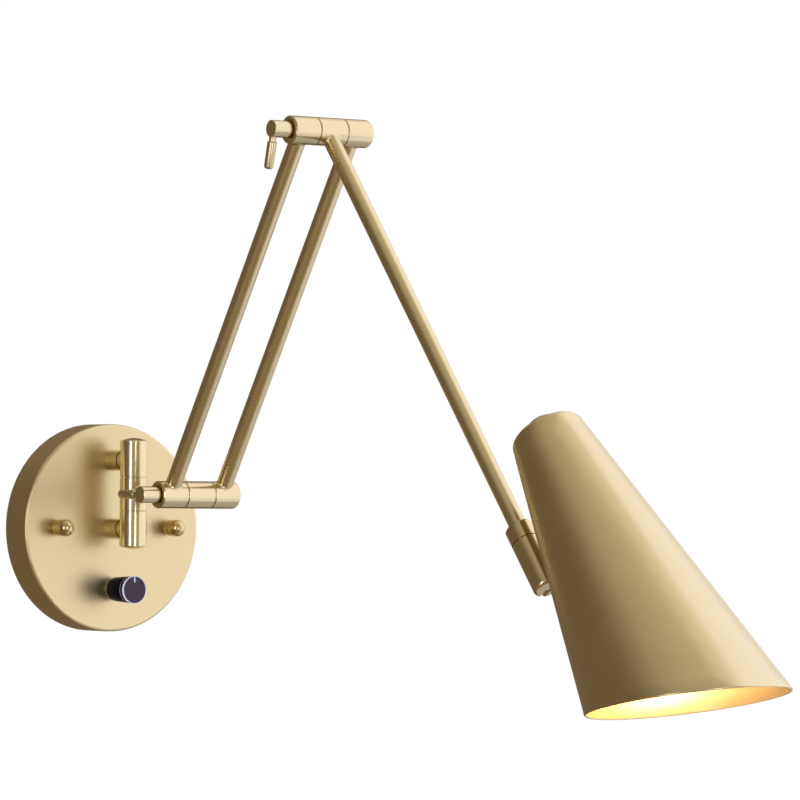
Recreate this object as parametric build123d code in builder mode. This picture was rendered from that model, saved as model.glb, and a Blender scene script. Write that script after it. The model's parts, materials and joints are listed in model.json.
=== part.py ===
# Folding swing-arm wall light, in millimetres.
#
# Frame: the wall is the plane y = 0 and the lamp stands out of it along -Y, with +Z up.
# The origin is the centre of the canopy's back on the wall.
# The light is drawn as it hangs in use: a pair of lower tubes leans out from the wall up to
# the elbow, and the single upper tube comes down from the elbow to the head.
from build123d import *
import os
from math import cos, hypot, radians, sin, tan

os.makedirs("parts", exist_ok=True)

# ---- canopy ----
canopy_dia = 120.0
canopy_depth = 20.5
canopy_wall = 1.2
canopy_edge = 1.8            # rounding of the front edge
stud_spacing = 77.6          # between the two cap nuts
stud_dia = 4.0
stud_hole_gap = 0.1          # radial, stud in the canopy

# ---- cap nuts ----
nut_neck_dia = 7.0           # collar between the canopy and the nut's base
nut_neck_length = 3.0
nut_base_dia = 9.4
nut_base_height = 3.4
nut_groove = 0.5             # depth and width of the groove under the dome
nut_dome_dia = 9.8
nut_dome_skirt = 2.7

# ---- wall crossbar ----
bar_length = 96.0
bar_height = 18.0
bar_thick = 1.6
wall_slot_spacing = 54.0
wall_slot_length = 12.0
wall_slot_width = 4.4
cable_hole_dia = 10.0
earth_screw_x = 13.0
earth_screw_dia = 4.0
earth_head_dia = 7.0
earth_head_height = 2.2

# ---- terminal block, fixed behind the canopy's face ----
block_size = (22.0, 11.0, 14.0)
block_place = (-23.0, 21.0)  # centre, X and Z
block_way_dia = 3.2

# ---- dimmer and its knob ----
dimmer_z = -35.4
dimmer_box = (20.0, 11.0, 20.0)
bushing_dia = 7.0
bushing_length = 5.5         # in front of the dimmer's box
bushing_nut_flats = 9.0
bushing_nut_height = 2.0
shaft_dia = 6.0
shaft_gap = 0.05             # radial, shaft in the bushing
knob_gap = 4.3               # between canopy and knob
knob_length = 19.2
knob_rear_dia = 13.8
knob_front_dia = 16.0
bezel_dia = 16.0             # pale ring set into the knob's front corner
bezel_inner_dia = 15.2
bezel_height = 1.6
bezel_rim = 0.15             # rounding of the ring's front edges
knob_face_sink = 0.3         # the face inside the ring, below the ring's front
band_from_rear = 14.8        # where the thin band sits along the knob
band_width = 0.6
band_depth = 0.6
pointer_width = 0.9
pointer_length = 3.0
pointer_inset = 0.3          # from the pale ring
pointer_depth = 0.4

# ---- hinge barrels ----
barrel_dia = 15.5
seam_gap = 0.45
washer_thick = 0.35
washer_dia = 14.2
washer_bore_gap = 0.15
edge_break = 0.25            # small chamfer at every barrel end
running_gap = 0.05           # radial, pin in a turning knuckle

# ---- vertical barrel and its posts ----
barrel_standoff = 21.0       # canopy face to barrel axis
barrel_bottom_z = -10.4
low_knuckle_length = 20.05
swivel_length = 18.9
high_knuckle_length = 20.9
rod_dia = 8.0
cap_dome = 1.6
cap_dia = 14.8
cap_plug_dia = 10.0
cap_plug_length = 2.0
post_dia = 12.0
post_neck_dia = 11.4
post_base_length = 11.5
post_groove = 0.6
post_high_z = 39.0
post_low_z = -0.5
nipple_dia = 8.0
nipple_bore = 5.0
nipple_in_post = 8.0
nipple_in_canopy = 4.5
nipple_hole_gap = 0.1
nipple_nut_flats = 12.0
nipple_nut_height = 3.0

# ---- arms ----
swing_reach = 62.1           # vertical barrel axis to lower hinge axis
lower_arm_length = 234.0     # hinge to hinge
lower_arm_lean = 31.6        # outward from upright
upper_arm_length = 306.0     # elbow to the head's tilt axis
upper_arm_drop = 38.4        # outward from straight down
tube_dia = 9.2
tube_wall = 0.9
middle_length = 18.0         # middle knuckle of a lying barrel
left_length = 16.75          # outer knuckle on the pin's side
right_length = 17.45         # outer knuckle with the closed end
tube_spacing = 35.2          # between the two lower tubes
end_round = 1.8              # rounded closed end of a lying barrel
end_wall = 4.0               # metal left past the blind bore

# ---- clamp pins and levers ----
pin_dia = 9.4
pin_out = 12.0               # how far the pin stands out of the barrel
pin_end_play = 0.5
mouth_dia = 11.2             # recess around the pin where it enters
mouth_depth = 1.5
mouth_edge = 0.6             # chamfer around that end
lever_from_end = 2.2         # lever axis behind the pin's end face
lever_neck_dia = 4.0
lever_neck_length = 7.0
lever_dia = 5.2
lever_length = 22.3          # pin axis to lever tip
lever_tip_round = 1.6
lower_lever_angle = 0.5      # from the wall's direction, upward
elbow_lever_angle = -77.0

# ---- head ----
collar_length = 10.0
collar_web = 4.0
collar_chamfer = 1.2
fork_length = 30.4           # from the swivel seam to the fork's end
fork_end_round = 2.2
slot_width = 3.3
slot_behind_axis = 10.0
bolt_dia = 6.0
bolt_bore = 3.2
bolt_in_fork = 8.0
bolt_head_dia = 7.0
bolt_head_height = 2.4
tilt_screw_dia = 5.0
tilt_screw_blind = 5.6       # how far the screw reaches past the middle
tilt_head_dia = 7.2
tilt_head_seat = 5.2         # from the middle to the seat under the head
tilt_head_height = 2.2
tilt_head_gap = 0.2
tilt_bore_gap = 0.06         # radial, tab on the screw

# ---- shade ----
shade_tilt = 38.7            # shade axis outward from straight down
shade_half_angle = 9.76
shade_top_dia = 38.8
shade_axis_length = 173.7    # top to the mouth, along the axis
mouth_slant = 27.9           # mouth plane against a square cut
shade_wall = 1.2
shade_top_round = 2.6
pivot_from_top = 56.7        # tilt axis, along the shade's axis
pivot_offset = 48.0          # tilt axis to shade axis
tab_thick = 3.0
tab_eye_dia = 14.8
tab_height = 9.0
foot_length = 30.0
foot_thick = 1.6
foot_arc = 26.0              # degrees around the shade
rivet_spacing = 21.0
rivet_dia = 3.0
rivet_head_dia = 5.0
rivet_head_height = 1.2
rivet_sink = 0.2             # the flat inner head stands off the curved wall
top_cap_dia = 17.6
top_cap_height = 7.0
top_cap_round = 1.6
shade_nipple_dia = 9.8
shade_nipple_bore = 6.0
nipple_in_cap = 3.5
nipple_in_holder = 5.0

# ---- lamp holder and bulb ----
holder_dia = 27.0
holder_length = 38.0
holder_floor = 8.0
holder_bore = 14.6
bulb_base_dia = 14.0
bulb_base_length = 27.0
bulb_dia = 44.0
bulb_neck_dia = 16.0
bulb_neck_length = 4.0
bulb_wall = 1.0

# ---- places worked out from the sizes above ----
barrel_r = barrel_dia / 2
tube_r = tube_dia / 2
pin_r = pin_dia / 2
face_y = -canopy_depth
inner_face_y = -(canopy_depth - canopy_wall)
barrel_y = face_y - barrel_standoff

low_knuckle_top = barrel_bottom_z + low_knuckle_length
swivel_bottom = low_knuckle_top + seam_gap
swivel_top = swivel_bottom + swivel_length
high_knuckle_bottom = swivel_top + seam_gap
barrel_top_z = high_knuckle_bottom + high_knuckle_length

across = Vector(1, 0, 0)
lower_hinge = Vector(0, barrel_y - swing_reach, (swivel_bottom + swivel_top) / 2)
lower_dir = Vector(0, -sin(radians(lower_arm_lean)), cos(radians(lower_arm_lean)))
elbow = lower_hinge + lower_dir * lower_arm_length
upper_dir = Vector(0, -sin(radians(upper_arm_drop)), -cos(radians(upper_arm_drop)))
tilt_point = elbow + upper_dir * upper_arm_length

middle_edge = middle_length / 2
side_inner = middle_edge + seam_gap
left_outer = side_inner + left_length
right_outer = side_inner + right_length
tube_x = tube_spacing / 2
pin_end_x = -(left_outer + pin_out)
lever_x = pin_end_x + lever_from_end
blind_x = right_outer - end_wall

fork_end = upper_arm_length + barrel_r          # distances along the upper arm
swivel_seam = fork_end - fork_length
collar_end = swivel_seam - seam_gap
collar_start = collar_end - collar_length
web_start = collar_end - collar_web

shade_dir = Vector(0, -sin(radians(shade_tilt)), -cos(radians(shade_tilt)))
shade_back = Vector(0, cos(radians(shade_tilt)), -sin(radians(shade_tilt)))
shade_origin = tilt_point - shade_back * pivot_offset
shade_axis = Axis(shade_origin, shade_dir)
cone_rise = tan(radians(shade_half_angle))
top_u = -pivot_from_top                          # distances along the shade's axis
mouth_u = top_u + shade_axis_length
holder_u = top_u + shade_wall
holder_end_u = holder_u + holder_length


def cone_radius(u):
    """Outer radius of the shade's cone, u along its axis from the tilt axis."""
    return shade_top_dia / 2 + (u - top_u) * cone_rise


# ---- planes ----
def square_to(origin, direction):
    """A plane across a direction in the arm's plane, with its x along world X."""
    return Plane(origin=origin, x_dir=across, z_dir=direction)


def across_plane(centre, x):
    """A plane across the X axis at the given X, centred on a hinge."""
    return Plane(origin=centre + across * x, x_dir=(0, 1, 0), z_dir=across)


shade_profile = Plane(origin=shade_origin, x_dir=shade_back, z_dir=(-1, 0, 0))
arm_profile = Plane(origin=tilt_point, x_dir=upper_dir, z_dir=across)
barrel_profile = Plane(origin=(0, barrel_y, 0), x_dir=(1, 0, 0), z_dir=(0, -1, 0))


# =====================  canopy and what it holds  =====================
with BuildPart() as canopy_pan:
    with BuildSketch(Plane.XZ):
        Circle(canopy_dia / 2)
    extrude(amount=canopy_depth)
    fillet(canopy_pan.faces().sort_by(Axis.Y)[0].edges(), canopy_edge)
    offset(amount=-canopy_wall, openings=canopy_pan.faces().sort_by(Axis.Y)[-1])
    with BuildSketch(Plane.XZ):
        with GridLocations(stud_spacing, 0, 2, 1):
            Circle(stud_dia / 2 + stud_hole_gap)
        with Locations((0, post_high_z), (0, post_low_z)):
            Circle(nipple_dia / 2 + nipple_hole_gap)
        with Locations((0, dimmer_z)):
            Circle(bushing_dia / 2)
    extrude(amount=canopy_depth, mode=Mode.SUBTRACT)

with BuildPart() as wall_crossbar:
    with BuildSketch(Plane.XZ) as bar_outline:
        RectangleRounded(bar_length, bar_height, bar_height / 3)
        Circle(cable_hole_dia / 2, mode=Mode.SUBTRACT)
        with GridLocations(wall_slot_spacing, 0, 2, 1):
            SlotOverall(wall_slot_length, wall_slot_width, mode=Mode.SUBTRACT)
        with GridLocations(stud_spacing, 0, 2, 1):
            Circle(stud_dia / 2, mode=Mode.SUBTRACT)
        with Locations((earth_screw_x, 0)):
            Circle(earth_screw_dia / 2, mode=Mode.SUBTRACT)
    extrude(amount=bar_thick)

with BuildPart() as stud_screws:
    with BuildSketch(Plane.XZ):
        with GridLocations(stud_spacing, 0, 2, 1):
            Circle(stud_dia / 2)
    extrude(amount=canopy_depth + nut_neck_length + nut_base_height)

with BuildPart() as cap_nuts:
    nut_profile = Plane(origin=(stud_spacing / 2, face_y, 0), x_dir=(1, 0, 0), z_dir=(0, 0, 1))
    dome_r = nut_dome_dia / 2
    base_top = nut_neck_length + nut_base_height
    dome_start = base_top + nut_groove
    dome_centre = dome_start + nut_dome_skirt
    with BuildSketch(nut_profile) as nut_outline:
        with BuildLine():
            Polyline(
                (0, -dome_centre - dome_r),
                (0, 0),
                (nut_neck_dia / 2, 0),
                (nut_neck_dia / 2, -nut_neck_length),
                (nut_base_dia / 2, -nut_neck_length),
                (nut_base_dia / 2, -base_top),
                (dome_r - nut_groove, -base_top),
                (dome_r - nut_groove, -dome_start),
                (dome_r, -dome_start),
                (dome_r, -dome_centre),
            )
            RadiusArc((dome_r, -dome_centre), (0, -dome_centre - dome_r), dome_r)
        make_face()
    revolve(axis=Axis((stud_spacing / 2, 0, 0), (0, 1, 0)))
    with BuildSketch(Plane.XZ.offset(canopy_depth)):
        with Locations((stud_spacing / 2, 0)):
            Circle(stud_dia / 2)
    extrude(amount=base_top, mode=Mode.SUBTRACT)
    mirror(about=Plane.YZ)

with BuildPart() as earth_screw:
    with BuildSketch(Plane.XZ):
        with Locations((earth_screw_x, 0)):
            Circle(earth_screw_dia / 2)
    extrude(amount=bar_thick)
    with BuildSketch(Plane.XZ.offset(bar_thick)):
        with Locations((earth_screw_x, 0)):
            Circle(earth_head_dia / 2)
            Rectangle(earth_head_dia, earth_head_height / 2, mode=Mode.SUBTRACT)
    extrude(amount=earth_head_height)
    with BuildSketch(Plane.XZ.offset(bar_thick)):
        with Locations((earth_screw_x, 0)):
            Circle(earth_head_dia / 2)
    extrude(amount=earth_head_height / 2)

with BuildPart() as terminal_block:
    block_width, block_deep, block_tall = block_size
    block_plane = Plane.XZ.offset(-inner_face_y - block_deep)
    with BuildSketch(block_plane):
        with Locations(block_place):
            Rectangle(block_width, block_tall)
    extrude(amount=block_deep)
    with BuildSketch(block_plane):
        with Locations(block_place):
            with GridLocations(block_width / 3, 0, 3, 1):
                Circle(block_way_dia / 2)
    extrude(amount=block_deep / 2, mode=Mode.SUBTRACT)

with BuildPart() as dimmer_body:
    dimmer_width, dimmer_deep, dimmer_tall = dimmer_box
    with BuildSketch(Plane.XZ.offset(-inner_face_y - dimmer_deep)):
        with Locations((0, dimmer_z)):
            Rectangle(dimmer_width, dimmer_tall)
    extrude(amount=dimmer_deep)
    with BuildSketch(Plane.XZ.offset(-inner_face_y)):
        with Locations((0, dimmer_z)):
            Circle(bushing_dia / 2)
    extrude(amount=bushing_length)
    with BuildSketch(Plane.XZ.offset(-inner_face_y - dimmer_deep / 2)):
        with Locations((0, dimmer_z)):
            Circle(shaft_dia / 2 + shaft_gap)
    extrude(amount=dimmer_deep / 2 + bushing_length, mode=Mode.SUBTRACT)

with BuildPart() as dimmer_nut:
    with BuildSketch(Plane.XZ.offset(canopy_depth)):
        with Locations((0, dimmer_z)):
            RegularPolygon(bushing_nut_flats / 2, 6, major_radius=False)
            Circle(bushing_dia / 2, mode=Mode.SUBTRACT)
    extrude(amount=bushing_nut_height)

knob_start = canopy_depth + knob_gap
knob_end = knob_start + knob_length
shaft_start = -inner_face_y - dimmer_deep / 2 + knob_gap / 2
shaft_end = knob_end - knob_length / 4
knob_face = knob_end - knob_face_sink
knob_axis = Axis((0, 0, dimmer_z), (0, -1, 0))


def knob_radius(along):
    """Radius of the tapered knob, along its length from the rear."""
    return (knob_rear_dia + (knob_front_dia - knob_rear_dia) * along / knob_length) / 2


def band_outline(depth):
    """Corners of the band's section, from the knob's surface down to a depth."""
    rear, front = band_from_rear, band_from_rear + band_width
    return (
        (knob_radius(rear), -knob_start - rear),
        (knob_radius(front), -knob_start - front),
        (knob_radius(front) - depth, -knob_start - front),
        (knob_radius(rear) - depth, -knob_start - rear),
    )


with BuildPart() as dimmer_shaft:
    with BuildSketch(Plane.XZ.offset(shaft_start)):
        with Locations((0, dimmer_z)):
            Circle(shaft_dia / 2)
    extrude(amount=shaft_end - shaft_start)

knob_section = Plane(origin=(0, 0, dimmer_z), x_dir=(1, 0, 0), z_dir=(0, 0, 1))
with BuildPart() as dimmer_knob:
    with BuildSketch(knob_section):
        Polygon(
            (0, -knob_start),
            (knob_rear_dia / 2, -knob_start),
            (knob_front_dia / 2, -knob_end),
            (0, -knob_end),
            align=None,
        )
    revolve(axis=knob_axis)
    with BuildSketch(knob_section):
        Polygon(*band_outline(band_depth), align=None)
    revolve(axis=knob_axis, mode=Mode.SUBTRACT)
    with BuildSketch(Plane.XZ.offset(knob_end - bezel_height)):
        with Locations((0, dimmer_z)):
            Circle(bezel_dia / 2)
            Circle(bezel_inner_dia / 2, mode=Mode.SUBTRACT)
    extrude(amount=bezel_height, mode=Mode.SUBTRACT)
    with BuildSketch(Plane.XZ.offset(knob_face)):
        with Locations((0, dimmer_z)):
            Circle(bezel_inner_dia / 2)
    extrude(amount=knob_face_sink, mode=Mode.SUBTRACT)
    with BuildSketch(Plane.XZ.offset(knob_start)):
        with Locations((0, dimmer_z)):
            Circle(shaft_dia / 2)
    extrude(amount=shaft_end - knob_start, mode=Mode.SUBTRACT)
    with BuildSketch(Plane.XZ.offset(knob_start)):
        with Locations((0, dimmer_z)):
            Circle(bushing_nut_flats / 2 * 1.2)
    extrude(amount=bushing_nut_height + bushing_length / 4, mode=Mode.SUBTRACT)
    pointer_z = dimmer_z + bezel_inner_dia / 2 - pointer_inset - pointer_length / 2
    with BuildSketch(Plane.XZ.offset(knob_face - pointer_depth)):
        with Locations((0, pointer_z)):
            Rectangle(pointer_width, pointer_length)
    extrude(amount=pointer_depth, mode=Mode.SUBTRACT)

with BuildPart() as knob_band:
    with BuildSketch(knob_section):
        Polygon(*band_outline(band_depth), align=None)
    revolve(axis=knob_axis)

with BuildPart() as knob_bezel:
    with BuildSketch(Plane.XZ.offset(knob_end - bezel_height)):
        with Locations((0, dimmer_z)):
            Circle(bezel_dia / 2)
            Circle(bezel_inner_dia / 2, mode=Mode.SUBTRACT)
    extrude(amount=bezel_height)
    fillet(knob_bezel.faces().sort_by(Axis.Y)[0].edges(), bezel_rim)

with BuildPart() as knob_pointer:
    with BuildSketch(Plane.XZ.offset(knob_face - pointer_depth)):
        with Locations((0, pointer_z)):
            Rectangle(pointer_width, pointer_length)
    extrude(amount=pointer_depth)


# =====================  posts and vertical barrel  =====================
post_heights = (post_high_z, post_low_z)

with BuildPart() as standoff_posts:
    base_end = canopy_depth + post_base_length
    with BuildSketch(Plane.XZ.offset(canopy_depth)):
        with Locations(*[(0, z) for z in post_heights]):
            Circle(post_dia / 2)
    extrude(amount=post_base_length)
    with BuildSketch(Plane.XZ.offset(base_end)):
        with Locations(*[(0, z) for z in post_heights]):
            Circle(post_neck_dia / 2 - post_groove)
    extrude(amount=post_groove)
    with BuildSketch(Plane.XZ.offset(base_end + post_groove)):
        with Locations(*[(0, z) for z in post_heights]):
            Circle(post_neck_dia / 2)
    extrude(amount=barrel_standoff - post_base_length - post_groove)
    with BuildSketch(Plane.XY.offset(barrel_bottom_z - post_dia)):
        with Locations((0, barrel_y)):
            Circle(barrel_r)
    extrude(amount=barrel_top_z - barrel_bottom_z + 2 * post_dia, mode=Mode.SUBTRACT)
    with BuildSketch(Plane.XZ.offset(canopy_depth)):
        with Locations(*[(0, z) for z in post_heights]):
            Circle(nipple_dia / 2)
    extrude(amount=nipple_in_post, mode=Mode.SUBTRACT)

with BuildPart() as post_nipples:
    nipple_start = -inner_face_y - nipple_in_canopy
    with BuildSketch(Plane.XZ.offset(nipple_start)):
        with Locations(*[(0, z) for z in post_heights]):
            Circle(nipple_dia / 2)
            Circle(nipple_bore / 2, mode=Mode.SUBTRACT)
    extrude(amount=canopy_depth + nipple_in_post - nipple_start)

with BuildPart() as post_nuts:
    with BuildSketch(Plane.XZ.offset(-inner_face_y - nipple_nut_height)):
        with Locations(*[(0, z) for z in post_heights]):
            RegularPolygon(nipple_nut_flats / 2, 6, major_radius=False)
            Circle(nipple_dia / 2, mode=Mode.SUBTRACT)
    extrude(amount=nipple_nut_height)


def barrel_piece(
    plane, length, bore_dia, recess_dia=0, recess_from=0, recess_to=0, first_break=edge_break
):
    """A knuckle: a length of the barrel, bored through, with a wider recess if asked."""
    with BuildPart() as piece:
        with BuildSketch(plane):
            Circle(barrel_r)
        extrude(amount=length)
        rims = piece.edges().filter_by(GeomType.CIRCLE)
        chamfer(rims.sort_by_distance(plane.origin)[-1], edge_break)
        rims = piece.edges().filter_by(GeomType.CIRCLE)
        chamfer(rims.sort_by_distance(plane.origin)[0], first_break)
        with BuildSketch(plane):
            Circle(bore_dia / 2)
        extrude(amount=length, mode=Mode.SUBTRACT)
        if recess_dia:
            with BuildSketch(plane.offset(recess_from)):
                Circle(recess_dia / 2)
            extrude(amount=recess_to - recess_from, mode=Mode.SUBTRACT)
    return piece


def upright(z):
    """A plane across the vertical barrel's axis at a height."""
    return Plane(origin=(0, barrel_y, z))


low_knuckle = barrel_piece(
    upright(barrel_bottom_z), low_knuckle_length, rod_dia,
    cap_plug_dia, 0, cap_plug_length,
)
high_knuckle = barrel_piece(
    upright(high_knuckle_bottom), high_knuckle_length, rod_dia,
    cap_plug_dia, high_knuckle_length - cap_plug_length, high_knuckle_length,
)
swivel_knuckle = barrel_piece(
    upright(swivel_bottom), swivel_length, rod_dia + 2 * running_gap
)

with BuildPart() as pivot_rod:
    with BuildSketch(upright(barrel_bottom_z + cap_plug_length)):
        Circle(rod_dia / 2)
    extrude(amount=barrel_top_z - barrel_bottom_z - 2 * cap_plug_length)

with BuildPart() as barrel_caps:
    cap_sag_r = (cap_dia**2 / 4 + cap_dome**2) / (2 * cap_dome)
    with BuildSketch(barrel_profile):
        with BuildLine():
            Polyline(
                (0, barrel_top_z + cap_dome),
                (0, barrel_top_z - cap_plug_length),
                (cap_plug_dia / 2, barrel_top_z - cap_plug_length),
                (cap_plug_dia / 2, barrel_top_z),
                (cap_dia / 2, barrel_top_z),
            )
            RadiusArc((cap_dia / 2, barrel_top_z), (0, barrel_top_z + cap_dome), -cap_sag_r)
        make_face()
    revolve(axis=Axis((0, barrel_y, 0), (0, 0, 1)))
    mirror(about=Plane.XY.offset((barrel_top_z + barrel_bottom_z) / 2))


def washer_pair(planes, bore_dia):
    """Two friction washers, each seated on the plane's side of its seam."""
    with BuildPart() as pair:
        for plane in planes:
            with BuildSketch(plane):
                Circle(washer_dia / 2)
                Circle(bore_dia / 2 + washer_bore_gap, mode=Mode.SUBTRACT)
            extrude(amount=washer_thick)
    return pair


base_washers = washer_pair(
    (upright(low_knuckle_top), upright(high_knuckle_bottom - washer_thick)), rod_dia
)


# =====================  lying barrels, arms and clamps  =====================
def left_knuckle_at(centre):
    """Outer knuckle where the clamp pin enters, with a recess around the pin."""
    return barrel_piece(
        across_plane(centre, -left_outer), left_length, pin_dia + 2 * running_gap,
        mouth_dia, 0, mouth_depth, mouth_edge,
    )


def right_knuckle_at(centre):
    """Outer knuckle with a rounded, closed end and a blind bore for the pin."""
    with BuildPart() as piece:
        with BuildSketch(across_plane(centre, side_inner)):
            Circle(barrel_r)
        extrude(amount=right_length)
        fillet(piece.edges().filter_by(GeomType.CIRCLE).sort_by(Axis.X)[-1], end_round)
        chamfer(piece.edges().filter_by(GeomType.CIRCLE).sort_by(Axis.X)[0], edge_break)
        with BuildSketch(across_plane(centre, side_inner)):
            Circle(pin_r + running_gap)
        extrude(amount=blind_x - side_inner, mode=Mode.SUBTRACT)
    return piece


def middle_knuckle_at(centre):
    """Middle knuckle of a lying barrel, which turns between the outer two."""
    return barrel_piece(
        across_plane(centre, -middle_edge), middle_length, pin_dia + 2 * running_gap
    )


def lying_washers_at(centre):
    """The two washers of a lying barrel, seated on its outer knuckles."""
    planes = (
        across_plane(centre, -side_inner),
        across_plane(centre, side_inner - washer_thick),
    )
    return washer_pair(planes, pin_dia)


def lever_plane(centre, angle):
    """The plane across a clamp lever, at the clamp pin's axis."""
    direction = Vector(0, cos(radians(angle)), sin(radians(angle)))
    return square_to(centre + across * lever_x, direction)


def clamp_pin_at(centre, angle):
    """Through pin with a cross hole for the lever's neck."""
    with BuildPart() as piece:
        with BuildSketch(across_plane(centre, pin_end_x)):
            Circle(pin_r)
        extrude(amount=blind_x - pin_end_play - pin_end_x)
        chamfer(piece.edges().filter_by(GeomType.CIRCLE), edge_break)
        with BuildSketch(lever_plane(centre, angle)):
            Circle(lever_neck_dia / 2)
        extrude(amount=pin_dia, mode=Mode.SUBTRACT)
    return piece


def clamp_lever_at(centre, angle):
    """Round lever on a thinner neck, with a rounded tip."""
    plane = lever_plane(centre, angle)
    with BuildPart() as piece:
        with BuildSketch(plane):
            Circle(lever_neck_dia / 2)
        extrude(amount=lever_neck_length)
        with BuildSketch(plane.offset(lever_neck_length)):
            Circle(lever_dia / 2)
        extrude(amount=lever_length - lever_neck_length)
        tip = centre + across * lever_x + plane.z_dir * lever_length
        tip_edge = piece.edges().filter_by(GeomType.CIRCLE).sort_by_distance(tip)[0]
        fillet(tip_edge, lever_tip_round)
    return piece


def arm_tube(start, direction, length, barrel_planes):
    """Round tube from one hinge axis towards the next, saddled onto the knuckles."""
    with BuildPart() as piece:
        with BuildSketch(square_to(start, direction)):
            Circle(tube_r)
            Circle(tube_r - tube_wall, mode=Mode.SUBTRACT)
        extrude(amount=length)
        for plane in barrel_planes:
            with BuildSketch(plane):
                Circle(barrel_r)
            extrude(amount=barrel_dia * 2, both=True, mode=Mode.SUBTRACT)
    return piece


lower_left_knuckle = left_knuckle_at(lower_hinge)
lower_right_knuckle = right_knuckle_at(lower_hinge)
lower_middle_knuckle = middle_knuckle_at(lower_hinge)
lower_washers = lying_washers_at(lower_hinge)
elbow_left_knuckle = left_knuckle_at(elbow)
elbow_right_knuckle = right_knuckle_at(elbow)
elbow_middle_knuckle = middle_knuckle_at(elbow)
elbow_washers = lying_washers_at(elbow)

lower_clamp_pin = clamp_pin_at(lower_hinge, lower_lever_angle)
lower_clamp_lever = clamp_lever_at(lower_hinge, lower_lever_angle)
elbow_clamp_pin = clamp_pin_at(elbow, elbow_lever_angle)
elbow_clamp_lever = clamp_lever_at(elbow, elbow_lever_angle)

stub_centre = Vector(0, barrel_y, lower_hinge.Z)
swing_stub = arm_tube(
    stub_centre,
    Vector(0, -1, 0),
    swing_reach,
    (upright(lower_hinge.Z), across_plane(lower_hinge, 0)),
)

side_cuts = (across_plane(lower_hinge, 0), across_plane(elbow, 0))
lower_left_tube = arm_tube(
    lower_hinge - across * tube_x, lower_dir, lower_arm_length, side_cuts
)
lower_right_tube = arm_tube(
    lower_hinge + across * tube_x, lower_dir, lower_arm_length, side_cuts
)
upper_tube = arm_tube(elbow, upper_dir, web_start, side_cuts[1:])


# =====================  head  =====================
def along_arm(distance):
    """The plane across the upper arm at a distance from the elbow."""
    return square_to(elbow + upper_dir * distance, upper_dir)


with BuildPart() as arm_collar:
    with BuildSketch(along_arm(collar_start)):
        Circle(barrel_r)
    extrude(amount=collar_length)
    collar_rims = arm_collar.edges().filter_by(GeomType.CIRCLE)
    chamfer(collar_rims.sort_by_distance(elbow)[0], collar_chamfer)
    with BuildSketch(along_arm(collar_start)):
        Circle(tube_r)
    extrude(amount=collar_length - collar_web, mode=Mode.SUBTRACT)
    with BuildSketch(along_arm(web_start)):
        Circle(bolt_dia / 2 + running_gap)
    extrude(amount=collar_web, mode=Mode.SUBTRACT)

bolt_start = web_start - running_gap - bolt_head_height
with BuildPart() as swivel_bolt:
    with BuildSketch(along_arm(bolt_start)):
        Circle(bolt_head_dia / 2)
    extrude(amount=bolt_head_height)
    with BuildSketch(along_arm(bolt_start)):
        Circle(bolt_dia / 2)
    extrude(amount=swivel_seam + bolt_in_fork - bolt_start)
    with BuildSketch(along_arm(bolt_start)):
        Circle(bolt_bore / 2)
    extrude(amount=swivel_seam + bolt_in_fork - bolt_start, mode=Mode.SUBTRACT)

with BuildPart() as swivel_washer:
    with BuildSketch(along_arm(swivel_seam - washer_thick)):
        Circle(washer_dia / 2)
        Circle(bolt_dia / 2 + washer_bore_gap, mode=Mode.SUBTRACT)
    extrude(amount=washer_thick)

with BuildPart() as head_fork:
    with BuildSketch(along_arm(swivel_seam)):
        Circle(barrel_r)
    extrude(amount=fork_length)
    fork_rims = head_fork.edges().filter_by(GeomType.CIRCLE)
    chamfer(fork_rims.sort_by_distance(elbow)[0], edge_break)
    fork_rims = head_fork.edges().filter_by(GeomType.CIRCLE)
    fillet(fork_rims.sort_by_distance(elbow)[-1], fork_end_round)
    with BuildSketch(arm_profile):
        with Locations((barrel_dia / 2, 0)):
            Rectangle(barrel_dia + 2 * slot_behind_axis, 2 * barrel_dia)
    extrude(amount=slot_width / 2, both=True, mode=Mode.SUBTRACT)
    with BuildSketch(along_arm(swivel_seam)):
        Circle(bolt_dia / 2)
    extrude(amount=bolt_in_fork, mode=Mode.SUBTRACT)
    with BuildSketch(arm_profile.offset(-tilt_screw_blind)):
        Circle(tilt_screw_dia / 2)
    extrude(amount=tilt_screw_blind + barrel_dia, mode=Mode.SUBTRACT)
    with BuildSketch(arm_profile.offset(tilt_head_seat)):
        Circle(tilt_head_dia / 2 + tilt_head_gap)
    extrude(amount=barrel_dia, mode=Mode.SUBTRACT)

with BuildPart() as tilt_screw:
    with BuildSketch(arm_profile.offset(-tilt_screw_blind)):
        Circle(tilt_screw_dia / 2)
    extrude(amount=tilt_screw_blind + tilt_head_seat)
    with BuildSketch(arm_profile.offset(tilt_head_seat)):
        Circle(tilt_head_dia / 2)
    extrude(amount=tilt_head_height)
    head_edge = tilt_screw.edges().filter_by(GeomType.CIRCLE).sort_by(Axis.X)[-1]
    chamfer(head_edge, tilt_head_height / 3)


# =====================  shade and light  =====================
overshoot = shade_axis_length / 4
long_u = mouth_u + overshoot                     # the cone before the mouth is cut
slant_wall = shade_wall / cos(radians(shade_half_angle))
back_normal = shade_back * cos(radians(shade_half_angle)) - shade_dir * sin(
    radians(shade_half_angle)
)


def on_shade_back(u):
    """The point of the shade's outer surface nearest the arm, at a station u."""
    return shade_origin + shade_dir * u + shade_back * cone_radius(u)


def rivet_plane(u):
    """The plane that touches the shade's back at a rivet, facing out."""
    return Plane(origin=on_shade_back(u), x_dir=across, z_dir=back_normal)


rivet_planes = [rivet_plane(u) for u in (-rivet_spacing / 2, rivet_spacing / 2)]

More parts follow.
